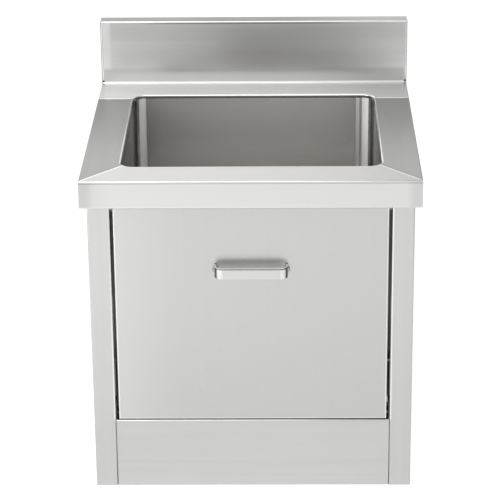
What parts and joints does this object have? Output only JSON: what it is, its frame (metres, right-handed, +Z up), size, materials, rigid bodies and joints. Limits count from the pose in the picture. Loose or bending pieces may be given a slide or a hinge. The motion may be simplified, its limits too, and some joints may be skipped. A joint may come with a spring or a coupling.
{
  "type": "mop service sink",
  "caption": "Free-standing stainless mop sink: deep bowl in a mitred rim with a rear splash, on a folded cabinet whose access panel tilts out and lifts off.",
  "frame": {"origin": "on the floor, under the middle of the object's outline (rim sides, handle front, back of the splash)", "axes": "+X to the right seen from the front, +Y to the back (the splash), +Z up; the access panel faces -Y"},
  "size_m": [0.5, 0.51, 0.605],
  "materials": {
    "rim_steel": "brushed along each rail, satin",
    "bowl_steel": "satin, darker inside the bowl",
    "cabinet_steel": "fine satin grain",
    "panel_steel": "fine satin grain, near plain",
    "hidden_steel": "mill finish",
    "handle_steel": "satin with polished bends",
    "bright_steel": "bright, turned",
    "zinc_steel": "zinc plated",
    "magnet": "dark sintered magnet with steel poles",
    "nylon": "moulded nylon",
    "rubber": "matt black",
    "fibre": "pressed fibre"
  },
  "bodies": {
    "cabinet": {"front_rim_rail": "rim_steel", "left_rim_rail": "rim_steel", "right_rim_rail": "rim_steel", "backsplash": "rim_steel", "splash_end_caps": "rim_steel", "bowl_walls": "bowl_steel", "bowl_base": "bowl_steel", "left_side_panel": "cabinet_steel", "right_side_panel": "cabinet_steel", "kick_panel": "cabinet_steel", "back_panel": "hidden_steel", "header_rail": "hidden_steel", "rim_studs": "zinc_steel", "rim_washers": "zinc_steel", "rim_nuts": "zinc_steel", "hook_brackets": "hidden_steel", "hook_rivets": "zinc_steel", "catch_housings": "nylon", "catch_magnets": "magnet", "catch_screws": "zinc_steel", "strainer_body": "bright_steel", "flange_seal": "rubber", "sink_washer": "rubber", "friction_ring": "fibre", "lock_nut": "nylon", "tailpiece_washer": "rubber", "tailpiece": "bright_steel", "coupling_nut": "nylon"},
    "pins": {"pivot_pins": "bright_steel"},
    "panel": {"panel_skin": "panel_steel", "panel_back": "cabinet_steel", "pivot_blocks": "nylon", "handle_backing": "hidden_steel", "strike_plates": "zinc_steel", "strike_rivets": "zinc_steel", "handle": "handle_steel", "handle_studs": "bright_steel", "handle_spacers": "bright_steel", "handle_nuts": "zinc_steel"},
    "basket": {"basket": "bright_steel", "basket_stopper": "rubber", "basket_knob": "bright_steel"}
  },
  "joints": [
    {"name": "panel_lift", "type": "slide", "parent": "cabinet", "child": "pins", "axis": [0, 0, 1], "range_m": [0, 0.014]},
    {"name": "panel_tilt", "type": "hinge", "parent": "pins", "child": "panel", "pos_m": [0, -0.226, 0.1345], "axis": [1, 0, 0], "range_deg": [0, 30]},
    {"name": "basket_lift", "type": "slide", "parent": "cabinet", "child": "basket", "axis": [0, 0, 1], "range_m": [0, 0.09]}
  ]
}
